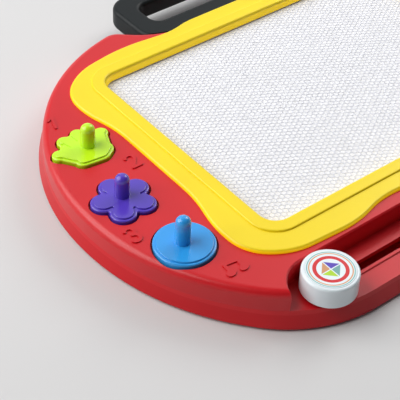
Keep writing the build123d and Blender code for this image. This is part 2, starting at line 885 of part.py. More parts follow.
# Eraser knob: a round cap over the slot, with a boss that stands on the carriage's stem
with BuildPart() as eraser_knob:
    with BuildSketch(Plane((knob_x, knob_y, knob_bottom))):
        Circle(knob_radius)
    extrude(amount=knob_height)
    fillet(eraser_knob.faces().sort_by(Axis.Z)[-1].edges(), knob_edge)
    with BuildSketch(Plane((knob_x, knob_y, knob_bottom))):
        Circle(knob_radius - knob_wall)
        with Locations((0, stem_offset)):
            Circle(knob_boss / 2, mode=Mode.SUBTRACT)
    extrude(amount=knob_inside - knob_bottom, mode=Mode.SUBTRACT)
    with BuildSketch(Plane((knob_x, knob_y, knob_face - label_recess))):
        Circle(label_diameter / 2 + label_gap)
    extrude(amount=label_recess, mode=Mode.SUBTRACT)
    with BuildSketch(Plane((knob_x, stem_y, knob_bottom))):
        Circle(screw_diameter / 2 + screw_gap)
    extrude(amount=knob_screw_seat + screw_length + screw_tip_gap - knob_bottom, mode=Mode.SUBTRACT)
eraser_knob.part.label = "eraser_knob"
export_step(eraser_knob.part, "parts/eraser_knob.step")

with BuildPart() as knob_label:
    with BuildSketch(Plane((knob_x, knob_y, knob_face - label_recess))):
        Circle(label_diameter / 2)
    extrude(amount=label_thickness)
knob_label.part.label = "knob_label"
export_step(knob_label.part, "parts/knob_label.step")

with BuildPart() as knob_screw:
    cross_screws(
        ((knob_x, stem_y),),
        knob_screw_seat,
        1,
        screw_diameter,
        screw_head_diameter,
        screw_head,
        screw_length,
    )
knob_screw.part.label = "knob_screw"
export_step(knob_screw.part, "parts/knob_screw.step")

# Carriage under the ledge: a plate with a stem through the slot, a groove over the front
# rail and a riser that carries the beam
with BuildPart() as eraser_carriage:
    plate_front = stem_y - carriage_front
    with BuildSketch(Plane((knob_x, (plate_front + carriage_back) / 2, carriage_bottom))):
        RectangleRounded(carriage_width, carriage_back - plate_front, carriage_radius)
    extrude(amount=carriage_thickness)
    with BuildSketch(Plane((knob_x, stem_y, carriage_top))):
        Circle(stem_width / 2)
    extrude(amount=knob_bottom - carriage_top)
    with BuildSketch(Plane((knob_x, (beam_front + carriage_back) / 2, carriage_top))):
        Rectangle(beam_width, carriage_back - beam_front)
    extrude(amount=beam_bottom - carriage_top)
    with BuildSketch(Plane((knob_x, rail_y, carriage_bottom))):
        Rectangle(carriage_width, rail_width + 2 * running_gap)
    extrude(amount=rail_groove_depth, mode=Mode.SUBTRACT)
    with BuildSketch(Plane((knob_x, stem_y, carriage_bottom))):
        Circle(screw_head_diameter / 2 + screw_gap)
    extrude(amount=screw_head, mode=Mode.SUBTRACT)
    with BuildSketch(Plane((knob_x, stem_y, carriage_bottom))):
        Circle(screw_diameter / 2 + screw_gap)
    extrude(amount=knob_bottom - carriage_bottom, mode=Mode.SUBTRACT)
    with BuildSketch(Plane((knob_x, beam_screw_y, beam_bottom))):
        Circle(small_screw_diameter / 2 + screw_gap)
    extrude(amount=-(beam_screw_length - beam_height + small_head + screw_tip_gap), mode=Mode.SUBTRACT)
eraser_carriage.part.label = "eraser_carriage"
export_step(eraser_carriage.part, "parts/eraser_carriage.step")

# Beam that runs behind the drawing panel from the front rail to the back rail
with BuildPart() as eraser_beam:
    with BuildSketch(Plane((knob_x, (beam_front + beam_back) / 2, beam_bottom))):
        Rectangle(beam_width, beam_back - beam_front)
    extrude(amount=beam_height)
    with BuildSketch(Plane((knob_x, window_y, rib_bottom))):
        Rectangle(beam_rib_width, beam_rib_depth)
    extrude(amount=beam_rib_height)
    with BuildSketch(Plane((knob_x, beam_screw_y, beam_bottom))):
        Circle(small_screw_diameter / 2 + screw_gap)
    extrude(amount=beam_height, mode=Mode.SUBTRACT)
    with BuildSketch(Plane((knob_x, beam_screw_y, rib_bottom))):
        Circle(small_head_diameter / 2 + screw_gap)
    extrude(amount=-small_head, mode=Mode.SUBTRACT)
eraser_beam.part.label = "eraser_beam"
export_step(eraser_beam.part, "parts/eraser_beam.step")

with BuildPart() as beam_screw:
    cross_screws(
        ((knob_x, beam_screw_y),),
        rib_bottom - small_head,
        -1,
        small_screw_diameter,
        small_head_diameter,
        small_head,
        beam_screw_length,
    )
beam_screw.part.label = "beam_screw"
export_step(beam_screw.part, "parts/beam_screw.step")

with BuildPart() as eraser_magnet:
    with BuildSketch(Plane((knob_x, window_y, magnet_bottom))):
        Rectangle(magnet_width, beam_rib_depth)
    extrude(amount=magnet_thickness)
eraser_magnet.part.label = "eraser_magnet"
export_step(eraser_magnet.part, "parts/eraser_magnet.step")

# Rails on the floor of the lower shell, one in the carriage's groove and one under the beam
with BuildPart() as front_rail:
    with BuildSketch(Plane((0, rail_y, cover_floor))):
        Rectangle(rail_length, rail_width)
    extrude(amount=front_rail_top - cover_floor)
front_rail.part.label = "front_rail"
export_step(front_rail.part, "parts/front_rail.step")

with BuildPart() as back_rail:
    with BuildSketch(Plane((0, back_rail_y, cover_floor))):
        Rectangle(rail_length, back_rail_width)
    extrude(amount=back_rail_top - cover_floor)
back_rail.part.label = "back_rail"
export_step(back_rail.part, "parts/back_rail.step")

# Stamps: a plate with a lower rim, a tapered peg with a round end, and a magnet below
for (name, stamp_face, x, y), (peg_height, peg_shift, creases) in zip(stamps, stamp_details):
    peg_x = x + peg_shift[0]
    peg_y = y + peg_shift[1]
    with BuildPart() as stamp:
        with BuildSketch(Plane((x, y, plate_bottom))):
            add(stamp_plan(stamp_face, 0))
        extrude(amount=plate_top - plate_bottom)
        fillet(stamp.faces().sort_by(Axis.Z)[-1].edges(), plate_edge)
        with BuildSketch(Plane((x, y, plate_top))):
            add(stamp_plan(stamp_face, -tier_inset))
        extrude(amount=tier_rise)
        fillet(stamp.faces().sort_by(Axis.Z)[-1].edges(), tier_edge)
        if creases:
            with BuildSketch(Plane((x, y, tier_top))):
                for start, end in creases:
                    stroke(Vector(*start) * hand_size, Vector(*end) * hand_size, crease_width)
            extrude(amount=-crease_depth, mode=Mode.SUBTRACT)
        with BuildSketch(Plane((peg_x, peg_y, tier_top))):
            Circle(peg_base_diameter / 2)
        with BuildSketch(Plane((peg_x, peg_y, tier_top + peg_height))):
            Circle(peg_tip_diameter / 2)
        loft(ruled=True)
        fillet(stamp.faces().sort_by(Axis.Z)[-1].edges(), peg_tip_diameter / 2 * peg_dome_share)
        with BuildSketch(Plane((x, y, plate_bottom))):
            add(stamp_plan(stamp_face, stamp_magnet_gap - stamp_magnet_inset))
        extrude(amount=stamp_magnet + stamp_magnet_gap, mode=Mode.SUBTRACT)
    stamp.part.label = f"{name}_stamp"
    export_step(stamp.part, f"parts/{name}_stamp.step")
    with BuildPart() as magnet:
        with BuildSketch(Plane((x, y, plate_bottom))):
            add(stamp_plan(stamp_face, -stamp_magnet_inset))
        extrude(amount=stamp_magnet)
    magnet.part.label = f"{name}_magnet"
    export_step(magnet.part, f"parts/{name}_magnet.step")

# Pen, lying along the tray with its nose to the front
pen_axis = Axis((pen_x, 0, pen_z), (0, 1, 0))
pen_plane = Plane.YZ.offset(pen_x)

with BuildPart() as pen_barrel:
    with BuildSketch(pen_plane):
        with BuildLine():
            Line((nose_back, pen_z), (nose_back, pen_z + pen_radius))
            ThreePointArc(
                (nose_back, pen_z + pen_radius),
                ((nose_back + cap_front) / 2, pen_z + pen_waist_diameter / 2),
                (cap_front, pen_z + pen_radius),
            )
            Line((cap_front, pen_z + pen_radius), (cap_front, pen_z))
            Line((cap_front, pen_z), (nose_back, pen_z))
        make_face()
    revolve(axis=pen_axis)
    with Locations(Location((pen_x, (nose_back + cap_front) / 2, pen_z), (90, 0, 0))):
        Cylinder(pen_spigot_diameter / 2 + pen_fit, cap_front - nose_back, mode=Mode.SUBTRACT)
pen_barrel.part.label = "pen_barrel"
export_step(pen_barrel.part, "parts/pen_barrel.step")

with BuildPart() as pen_nose:
    with BuildSketch(pen_plane):
        with BuildLine():
            Line((nose_front, pen_z), (nose_front, pen_z + pen_neck_diameter / 2))
            ThreePointArc(
                (nose_front, pen_z + pen_neck_diameter / 2),
                (
                    (nose_front + nose_back) / 2,
                    pen_z + (pen_neck_diameter / 2 + pen_radius) / 2 + pen_nose_bulge,
                ),
                (nose_back, pen_z + pen_radius),
            )
            Polyline(
                (nose_back, pen_z + pen_radius),
                (nose_back, pen_z + pen_spigot_diameter / 2),
                (nose_back + pen_spigot_length, pen_z + pen_spigot_diameter / 2),
                (nose_back + pen_spigot_length, pen_z),
                (nose_front, pen_z),
            )
        make_face()
    revolve(axis=pen_axis)
    with Locations(Location((pen_x, pen_tip + pen_magnet_length / 2, pen_z), (90, 0, 0))):
        Cylinder(pen_magnet_diameter / 2 + pen_fit, pen_magnet_length, mode=Mode.SUBTRACT)
pen_nose.part.label = "pen_nose"
export_step(pen_nose.part, "parts/pen_nose.step")

with BuildPart() as pen_magnet:
    with Locations(Location((pen_x, pen_tip + pen_magnet_length / 2, pen_z), (90, 0, 0))):
        Cylinder(pen_magnet_diameter / 2, pen_magnet_length)
    chamfer(pen_magnet.faces().sort_by(Axis.Y)[0].edges(), pen_magnet_edge)
pen_magnet.part.label = "pen_magnet"
export_step(pen_magnet.part, "parts/pen_magnet.step")

with BuildPart() as pen_cap:
    with Locations(Location((pen_x, cap_front + pen_cap_length / 2, pen_z), (90, 0, 0))):
        Cylinder(pen_radius, pen_cap_length)
    fillet(pen_cap.faces().sort_by(Axis.Y)[-1].edges(), pen_cap_edge)
    with Locations(Location((pen_x, cap_front - pen_spigot_length / 2, pen_z), (90, 0, 0))):
        Cylinder(pen_spigot_diameter / 2, pen_spigot_length)
pen_cap.part.label = "pen_cap"
export_step(pen_cap.part, "parts/pen_cap.step")

# Carry handle in two shells that fill the casing's notch and reach out behind it
with BuildPart() as handle_lower:
    with BuildSketch(Plane.XY.offset(seam_height)):
        add(handle_outline())
    extrude(amount=handle_split - seam_height)
    fillet(handle_lower.faces().sort_by(Axis.Z)[0].outer_wire().edges(), handle_edge)
    fillet(handle_lower.faces().sort_by(Axis.Z)[0].inner_wires().edges(), grip_edge)
    with BuildSketch(Plane.XY.offset(seam_height)):
        add(notch_plan())
    extrude(amount=handle_split - seam_height, mode=Mode.SUBTRACT)
    with BuildSketch(Plane.XY.offset(seam_height + handle_wall)):
        add(handle_hollow())
    extrude(amount=handle_split - seam_height - handle_wall, mode=Mode.SUBTRACT)
    with BuildSketch(Plane.XY.offset(seam_height + handle_wall)):
        with Locations(*handle_screw_places):
            Circle(post_diameter / 2)
    extrude(amount=handle_split - seam_height - handle_wall)
    with BuildSketch(Plane.XY.offset(seam_height)):
        with Locations(*handle_screw_places):
            Circle(screw_diameter / 2 + screw_gap)
    extrude(amount=handle_split - seam_height, mode=Mode.SUBTRACT)
handle_lower.part.label = "handle_lower"
export_step(handle_lower.part, "parts/handle_lower.step")

with BuildPart() as handle_upper:
    with BuildSketch(Plane.XY.offset(handle_split)):
        add(handle_outline())
    extrude(amount=handle_top - handle_split)
    fillet(handle_upper.faces().sort_by(Axis.Z)[-1].outer_wire().edges(), handle_edge)
    fillet(handle_upper.faces().sort_by(Axis.Z)[-1].inner_wires().edges(), grip_edge)
    with BuildSketch(Plane.XY.offset(handle_split)):
        add(notch_plan())
    extrude(amount=handle_top - handle_split, mode=Mode.SUBTRACT)
    with BuildSketch(Plane.XY.offset(handle_split)):
        add(handle_hollow())
    extrude(amount=handle_top - handle_wall - handle_split, mode=Mode.SUBTRACT)
    with BuildSketch(Plane.XY.offset(handle_split)):
        with Locations(*handle_screw_places):
            Circle(post_diameter / 2)
    extrude(amount=handle_top - handle_wall - handle_split)
    with BuildSketch(Plane.XY.offset(handle_split)):
        with Locations(*handle_screw_places):
            Circle(screw_diameter / 2 + screw_gap)
    extrude(amount=shank_top + screw_tip_gap - handle_split, mode=Mode.SUBTRACT)
handle_upper.part.label = "handle_upper"
export_step(handle_upper.part, "parts/handle_upper.step")

# Screws from below
with BuildPart() as handle_screws:
    cross_screws(
        handle_screw_places,
        head_seat,
        1,
        screw_diameter,
        screw_head_diameter,
        screw_head,
        screw_length,
    )
handle_screws.part.label = "handle_screws"
export_step(handle_screws.part, "parts/handle_screws.step")

with BuildPart() as casing_screws:
    cross_screws(
        screw_places,
        head_seat,
        1,
        screw_diameter,
        screw_head_diameter,
        screw_head,
        screw_length,
    )
casing_screws.part.label = "casing_screws"
export_step(casing_screws.part, "parts/casing_screws.step")

# Rubber feet in round recesses of the lower shell
with BuildPart() as rubber_feet:
    with BuildSketch():
        with Locations(*foot_places):
            Circle(foot_diameter / 2)
    extrude(amount=cover_lift + foot_sink)
    chamfer(rubber_feet.faces().group_by(Axis.Z)[0].edges(), foot_edge)
rubber_feet.part.label = "rubber_feet"
export_step(rubber_feet.part, "parts/rubber_feet.step")
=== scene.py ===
"""Looks of a child's magnetic drawing board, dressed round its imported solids.

Every length is in metres, in the frame of the solids: the origin lies under the middle foot, +Z is
up, +Y points to the carry handle and +X runs along the eraser's ledge.
"""
from math import cos, radians, sin, sqrt

import bpy
import numpy as np
from bpy.props import FloatProperty, FloatVectorProperty, PointerProperty
from bpy.types import Operator, Panel, PropertyGroup
from mathutils import Matrix, Vector


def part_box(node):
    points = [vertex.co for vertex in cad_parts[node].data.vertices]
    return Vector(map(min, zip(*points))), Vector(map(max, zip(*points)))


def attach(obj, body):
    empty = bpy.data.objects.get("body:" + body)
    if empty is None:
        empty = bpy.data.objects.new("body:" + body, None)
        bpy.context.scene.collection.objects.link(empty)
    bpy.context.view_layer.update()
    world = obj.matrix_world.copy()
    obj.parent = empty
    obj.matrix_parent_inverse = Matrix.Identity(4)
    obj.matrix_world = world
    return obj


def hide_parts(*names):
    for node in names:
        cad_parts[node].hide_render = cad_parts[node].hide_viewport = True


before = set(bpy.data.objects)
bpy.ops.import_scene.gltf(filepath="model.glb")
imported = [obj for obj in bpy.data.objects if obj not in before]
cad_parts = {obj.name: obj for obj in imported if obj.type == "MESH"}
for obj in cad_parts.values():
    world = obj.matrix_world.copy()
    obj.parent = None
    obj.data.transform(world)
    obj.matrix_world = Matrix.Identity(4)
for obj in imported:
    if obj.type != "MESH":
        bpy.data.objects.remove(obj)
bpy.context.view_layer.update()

bl_info = {
    "name": "Magnetic drawing board",
    "version": (1, 0, 0),
    "blender": (4, 5, 0),
    "location": "View3D > Sidebar > Drawing board",
    "description": "Finishes, screen cells and studio for a child's magnetic drawing board",
    "category": "Object",
}

MM = 0.001
BLACK = (0.0, 0.0, 0.0, 1.0)

# Noise scales are in cells to the metre
DRIFT_SCALE = 14.0
DRIFT_EDGES = (0.30, 0.70)
GLOSS_SCALE = 60.0
GLOSS_SPREAD = 0.08
GRAIN_SCALE = 1500.0
COARSE_GRAIN = 9.0
COARSE_WEIGHT = 0.6
PLASTIC_IOR = 1.47

# The screen's cells are hexagons; their rims lean in towards the fluid by a share of the wall
HEXAGON = 6
RIM_LEAN = 0.35
WELD = 1e-7

SENSOR_WIDTH = 36.0
LAMP_AIM = (-0.1, 0.0, 0.0)
# Name, place, width and colour of each lamp
LAMPS = (
    ("key", (-1.35, 1.0, 1.4), 2.2, (1.0, 0.99, 0.98)),
    ("sheen", (0.7, 0.9, 1.1), 1.7, (0.97, 0.98, 1.0)),
    ("side", (1.3, 0.3, 1.1), 0.8, (1.0, 0.99, 0.98)),
)


def colour_property(name, default, description):
    """Colour setting, linear red, green and blue."""
    return FloatVectorProperty(
        name=name, description=description, default=default, size=3, min=0, max=1, subtype="COLOR"
    )


def length_property(name, millimetres, description):
    """Length setting, given in millimetres and kept in metres."""
    return FloatProperty(
        name=name, description=description, default=millimetres * MM, unit="LENGTH"
    )


def ring_property(name, inner, outer, description):
    """Ring setting: its inner and outer radius, given in millimetres and kept in metres."""
    return FloatVectorProperty(
        name=name,
        description=description,
        default=(inner * MM, outer * MM),
        size=2,
        unit="LENGTH",
    )


def angle_property(name, degrees, description):
    """Angle setting, given in degrees."""
    return FloatProperty(
        name=name, description=description, default=radians(degrees), subtype="ANGLE"
    )


def power_property(name, watts, description):
    """Power of a lamp."""
    return FloatProperty(name=name, description=description, default=watts, unit="POWER")


class BoardColours(PropertyGroup):
    """Colours of the mouldings, the prints and the small parts."""

    red: colour_property("Casing red", (0.64, 0.006, 0.012), "Upper and lower shell")
    yellow: colour_property("Frame yellow", (0.97, 0.74, 0.008), "Frame round the screen")
    # Painted glow: the frame's inner walls get this amber as base colour and as emission, painted
    # light that makes them brighter than their lighting gives
    painted_glow: colour_property(
        "Frame amber", (0.97, 0.66, 0.002), "Light that glows through the frame's walls"
    )
    lime: colour_property("Lime", (0.57, 0.92, 0.014), "Hand stamp")
    purple: colour_property("Purple", (0.092, 0.046, 0.50), "Flower stamp")
    blue: colour_property("Blue", (0.030, 0.35, 0.84), "Disc stamp")
    white: colour_property("Knob white", (0.82, 0.90, 0.94), "Eraser knob")
    charcoal: colour_property("Handle charcoal", (0.003, 0.006, 0.007), "Carry handle")
    fluid: colour_property("Screen fluid", (0.97, 0.97, 0.98), "White fluid in the cells")
    cell: colour_property("Cell walls", (0.62, 0.64, 0.73), "Walls between the screen's cells")
    film: colour_property("Screen film", (0.95, 0.95, 0.98), "Clear film over the cells")
    gasket: colour_property("Gasket grey", (0.50, 0.50, 0.53), "Gasket between frame and film")
    teal: colour_property("Print teal", (0.22, 0.52, 0.50), "Outer ring of the knob's label")
    orange: colour_property("Print orange", (0.75, 0.36, 0.16), "Inner ring of the label")
    magnet: colour_property("Magnet", (0.045, 0.040, 0.038), "Flexible magnetic sheet")
    inner: colour_property("Inner plastic", (0.032, 0.032, 0.035), "Rails, carriage and retainer")
    rubber: colour_property("Rubber", (0.010, 0.010, 0.010), "Feet")
    steel_dark: colour_property("Steel, dark", (0.44, 0.45, 0.46), "Troughs of the steel's grain")
    steel_light: colour_property("Steel, light", (0.62, 0.62, 0.63), "Crests of the steel's grain")


class BoardScreen(PropertyGroup):
    """Sizes of the screen's honeycomb."""

    pitch: length_property("Cell pitch", 3.81, "Distance between cells across their flat sides")
    wall: length_property("Cell wall", 0.34, "Thickness of the walls between cells")
    dip: length_property("Dip", 0.28, "Depth of the fluid below the tops of the walls")
    margin: length_property("Margin", 2.4, "Least distance from a cell's middle to the edge")


class BoardLabel(PropertyGroup):
    """Sizes of the print on the knob's label."""

    teal_ring: ring_property("Teal ring", 14.2, 14.9, "Inner and outer radius")
    orange_ring: ring_property("Orange ring", 12.9, 13.7, "Inner and outer radius")
    ring_edge: length_property("Ring edge", 0.12, "Softness of the two thin rings' edges")
    red_ring: ring_property("Red ring", 8.8, 11.2, "Inner and outer radius")
    diamond: length_property("Diamond", 7.7, "From the label's middle to the diamond's corners")
    gap: length_property("Gap", 0.35, "Half width of the gaps between the diamond's quarters")
    edge: length_property("Edge", 0.1, "Softness of the red ring's and the diamond's edges")


class BoardStage(PropertyGroup):
    """Camera, lamps and floor."""

    azimuth: angle_property("Azimuth", -40.31, "Heading of the view")
    elevation: angle_property("Elevation", 42.04, "Height of the view above the horizon")
    roll: angle_property("Roll", 2.755, "Turn of the picture about the line of sight")
    distance: length_property("Distance", 805.3, "From the camera to its target")
    target: FloatVectorProperty(
        name="Target",
        description="Point that the camera looks at",
        default=(-147.0 * MM, -32.15 * MM, 25.0 * MM),
        size=3,
        subtype="XYZ",
        unit="LENGTH",
    )
    lens: FloatProperty(
        name="Lens", description="Focal length on a 36 mm sensor, in millimetres", default=114.12
    )
    key: power_property("Key light", 59.0, "Power of the large lamp on the left")
    sheen: power_property("Sheen light", 7.0, "Power of the broad lamp behind the board")
    side: power_property("Side light", 10.0, "Power of the lamp on the right")
    sky: FloatProperty(
        name="Sky", description="Strength of the even light from all round", default=0.12
    )
    sky_colour: colour_property("Sky colour", (0.93, 0.95, 1.0), "Colour of the even light")
    span: length_property("Span", 6000.0, "From the middle of the floor to its walls")
    rise: length_property("Rise", 2400.0, "Height of the walls")
    fade: ring_property("Fade", 550.0, 1500.0, "Where the lit floor starts and ends its fade")
    floor_dark: colour_property("Floor, dark", (0.66, 0.66, 0.66), "Darker patches of the floor")
    floor_light: colour_property("Floor, light", (0.70, 0.70, 0.70), "Lighter patches")
    backdrop: colour_property("Backdrop", (0.70, 0.70, 0.71), "Far floor and walls, as seen")


def shade(colour, factor=1.0):
    """The colour made lighter or darker by a factor, with alpha 1."""
    return (*[min(1.0, channel * factor) for channel in colour[:3]], 1.0)


class Signal:
    """Output socket in an expression: each operator adds the Math node that it stands for."""

    def __init__(self, finish, socket):
        self.finish = finish
        self.socket = socket

    def _math(self, operation, *terms):
        return self.finish.add("ShaderNodeMath", {"operation": operation}, dict(enumerate(terms)))

    def __add__(self, other):
        return self._math("ADD", self, other)

    def __radd__(self, other):
        return self._math("ADD", other, self)

    def __sub__(self, other):
        return self._math("SUBTRACT", self, other)

    def __rsub__(self, other):
        return self._math("SUBTRACT", other, self)

    def __mul__(self, other):
        return self._math("MULTIPLY", self, other)

    def __rmul__(self, other):
        return self._math("MULTIPLY", other, self)

    def __abs__(self):
        return self._math("ABSOLUTE", self)

    def root(self):
        """Square root."""
        return self._math("SQRT", self)

    def ramp(self, start, end):
        """Smooth step from 0 at start to 1 at end."""
        return self.finish.add(
            "ShaderNodeMapRange",
            {"interpolation_type": "SMOOTHSTEP"},
            {"Value": self, "From Min": start, "From Max": end},
        )

    def step(self, middle, soft):
        """Smooth step from 0 to 1 about a middle value, over soft each way."""
        return self.ramp(middle - soft, middle + soft)

    def band(self, limits, soft):
        """1 between two limits and 0 outside them, with soft edges."""
        return self.step(limits[0], soft) * (1 - self.step(limits[1], soft))


class Finish:
    """Node tree of one material."""

    def __init__(self, name):
        self.material = bpy.data.materials.new(name)
        self.material.use_nodes = True
        self.tree = self.material.node_tree
        self.tree.nodes.clear()
        self.place = self.add("ShaderNodeTexCoord", output="Object")

    def add(self, kind, settings=None, values=None, output=0):
        """Adds a node: its settings, then its values or links. Returns one output, if any."""
        node = self.tree.nodes.new(kind)
        for key, setting in (settings or {}).items():
            setattr(node, key, setting)
        for key, value in (values or {}).items():
            if isinstance(value, Signal):
                self.tree.links.new(value.socket, node.inputs[key])
            else:
                node.inputs[key].default_value = value
        return Signal(self, node.outputs[output]) if node.outputs else None

    def axes(self):
        """Object coordinates as three signals."""
        split = "ShaderNodeSeparateXYZ"
        return [self.add(split, values={0: self.place}, output=axis) for axis in range(3)]

    def noise(self, scale, detail=2.0, roughness=0.5):
        """Noise from 0 to 1 with so many cells to the metre."""
        return self.add(
            "ShaderNodeTexNoise",
            values={
                "Vector": self.place,
                "Scale": scale,
                "Detail": detail,
                "Roughness": roughness,
            },
        )

    def drift(self):
        """Slow mottle from 0 to 1, some centimetres across."""
        return self.noise(DRIFT_SCALE, 3.0).ramp(*DRIFT_EDGES)

    def gloss(self, roughness):
        """Roughness that rises in patches, from the value given to GLOSS_SPREAD above it."""
        return roughness + self.noise(GLOSS_SCALE, 3.0) * GLOSS_SPREAD

    def blend(self, mask, first, second):
        """First colour where the mask is 0, second where it is 1."""
        return self.add(
            "ShaderNodeMix", {"data_type": "RGBA"}, {0: mask, 6: first, 7: second}, output=2
        )

    def bump(self, height, distance, strength=1.0):
        """Normal from a height signal, over a depth in metres."""
        return self.add(
            "ShaderNodeBump",
            values={"Height": height, "Distance": distance, "Strength": strength},
        )

    def finish(self, **values):
        """Ends the tree in a Principled shader and returns the material."""
        named = {key.replace("_", " "): value for key, value in values.items()}
        shader = self.add("ShaderNodeBsdfPrincipled", values=named)
        self.add("ShaderNodeOutputMaterial", values={"Surface": shader})
        return self.material


def moulded(
    name, colour, roughness, depth, grain=GRAIN_SCALE, coat=0.0, pull=0.04, specular=0.5
):
    """Injection moulding: a slow drift of tone, a fine spark-eroded grain and an uneven gloss.

    Tone runs from colour * (1 - pull) to colour * (1 + pull) with the slow drift; the grain is
    noise at so many cells to the metre, plus COARSE_WEIGHT times a noise that is COARSE_GRAIN
    times coarser, over a depth in millimetres; roughness is the mean of an uneven gloss.
    """
    look = Finish(name)
    relief = look.noise(grain, 2.0, 0.6) + look.noise(grain / COARSE_GRAIN, 2.0) * COARSE_WEIGHT
    return look.finish(
        Base_Color=look.blend(look.drift(), shade(colour, 1 - pull), shade(colour, 1 + pull)),
        Roughness=look.gloss(roughness - GLOSS_SPREAD / 2),
        Normal=look.bump(relief, depth * MM, 0.55),
        Coat_Weight=coat,
        Coat_Roughness=0.12,
        IOR=PLASTIC_IOR,
        Specular_IOR_Level=specular,
    )


def dress(material, *nodes):
    """Gives CAD nodes their finish."""
    for name in nodes:
        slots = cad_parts[name].data.materials
        slots.clear()
        slots.append(material)


def new_piece(name, corners, faces, material, body):
    """Mesh object from arrays, with its finish, body and material slot."""
    mesh = bpy.data.meshes.new(name)
    mesh.from_pydata(corners.tolist(), [], faces)
    mesh.validate()
    mesh.materials.append(material)
    piece = bpy.data.objects.new(name, mesh)
    bpy.context.scene.collection.objects.link(piece)
    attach(piece, body)
    return piece


class BOARD_OT_casing(Operator):
    """Finish the red upper and lower shell"""

    bl_idname = "board.casing"
    bl_label = "Casing"

    def execute(self, context):
        red = context.scene.board_colours.red
        upper = moulded("casing_red", red, roughness=0.34, depth=0.030, specular=0.55)
        lower = moulded(
            "cover_red", shade(red, 0.92), roughness=0.36, depth=0.045, specular=0.40
        )
        dress(upper, "top_casing")
        dress(lower, "bottom_cover")
        return {"FINISHED"}


class BOARD_OT_frame(Operator):
    """Finish the yellow frame round the screen"""

    bl_idname = "board.frame"
    bl_label = "Screen frame"

    def execute(self, context):
        colours = context.scene.board_colours
        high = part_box("screen_frame")[1]
        look = Finish("frame_yellow")
        # The frame's inner wall starts between these depths below its highest edge
        wall_start, wall_full = 1.5 * MM, 2.3 * MM
        # Painted light: below the wall's start the frame is painted a brighter amber and glows
        # amber, brighter than its lighting gives
        painted_glow_mask = 1 - look.axes()[2].ramp(high.z - wall_full, high.z - wall_start)
        top = look.blend(look.drift(), shade(colours.yellow, 0.97), shade(colours.yellow, 1.03))
        relief = look.noise(GRAIN_SCALE, 2.0, 0.6)
        material = look.finish(
            Base_Color=look.blend(painted_glow_mask, top, shade(colours.painted_glow)),
            Roughness=look.gloss(0.30),
            Normal=look.bump(relief, 0.020 * MM, 0.5),
            Emission_Color=look.blend(painted_glow_mask, BLACK, shade(colours.painted_glow)),
            Emission_Strength=0.36,
            IOR=PLASTIC_IOR,
        )
        dress(material, "screen_frame")
        return {"FINISHED"}


def cell_mesh(box, pitch, wall, dip, margin):
    """Honeycomb sheet as one closed mesh.

    Cell (i, j) has its middle at (1.5 R i, pitch (j + (i mod 2) / 2)), where R = pitch / sqrt 3.
    Corner k of a cell's ring is its middle + radius * (cos 60 k, sin 60 k). Each cell has four
    rings: radius R on the tops of the walls, R less half a wall on the rim, RIM_LEAN of a wall
    less than that down at the fluid, and R again on the back. Corners that fall together are
    welded, and each edge that only one cell has gets a side face.
    """
    low, high = box
    radius = pitch / sqrt(3)
    column_pitch = 1.5 * radius
    middle = (np.array(low) + np.array(high)) / 2
    half = (np.array(high) - np.array(low)) / 2 - margin
    reach = np.ceil(half[:2] / (column_pitch, pitch)).astype(int) + 1
    column, row = np.meshgrid(*[np.arange(-cells, cells + 1) for cells in reach])
    x = column * column_pitch
    y = (row + (column % 2) / 2) * pitch
    inside = (abs(x) < half[0]) & (abs(y) < half[1])
    centres = np.stack([x[inside], y[inside]], axis=1) + middle[:2]
    angles = np.radians(360 / HEXAGON * np.arange(HEXAGON))
    ring = np.stack([np.cos(angles), np.sin(angles)], axis=1)
    rim = radius - wall / sqrt(3)
    levels = (
        (radius, high[2]),
        (rim, high[2]),
        (rim - wall * RIM_LEAN, high[2] - dip),
        (radius, low[2]),
    )
    count = len(centres)
    rings = []
    for size, height in levels:
        flat = centres[:, None, :] + ring[None] * size
        rings.append(np.concatenate([flat, np.full((count, HEXAGON, 1), height)], axis=2))
    corners = np.stack(rings, axis=1).reshape(-1, 3)
    _, first, index = np.unique(
        np.round(corners / WELD).astype(np.int64), axis=0, return_index=True, return_inverse=True
    )
    index = index.reshape(count, len(levels), HEXAGON)
    following = np.roll(index, -1, axis=2)
    tops = [
        np.stack([index[:, k], following[:, k], following[:, k + 1], index[:, k + 1]], axis=-1)
        for k in (0, 1)
    ]
    quads = np.concatenate([part.reshape(-1, 4) for part in tops])
    edges = np.stack([index[:, 0], following[:, 0]], axis=-1).reshape(-1, 2)
    backs = np.stack([index[:, 3], following[:, 3]], axis=-1).reshape(-1, 2)
    _, place, uses = np.unique(
        np.sort(edges, axis=1), axis=0, return_inverse=True, return_counts=True
    )
    lone = uses[place.reshape(-1)] == 1
    sides = np.concatenate([edges[lone][:, ::-1], backs[lone]], axis=1)
    fluid, back = index[:, 2], index[:, 3, ::-1]
    faces = [*quads.tolist(), *sides.tolist(), *fluid.tolist(), *back.tolist()]
    return corners[first], faces


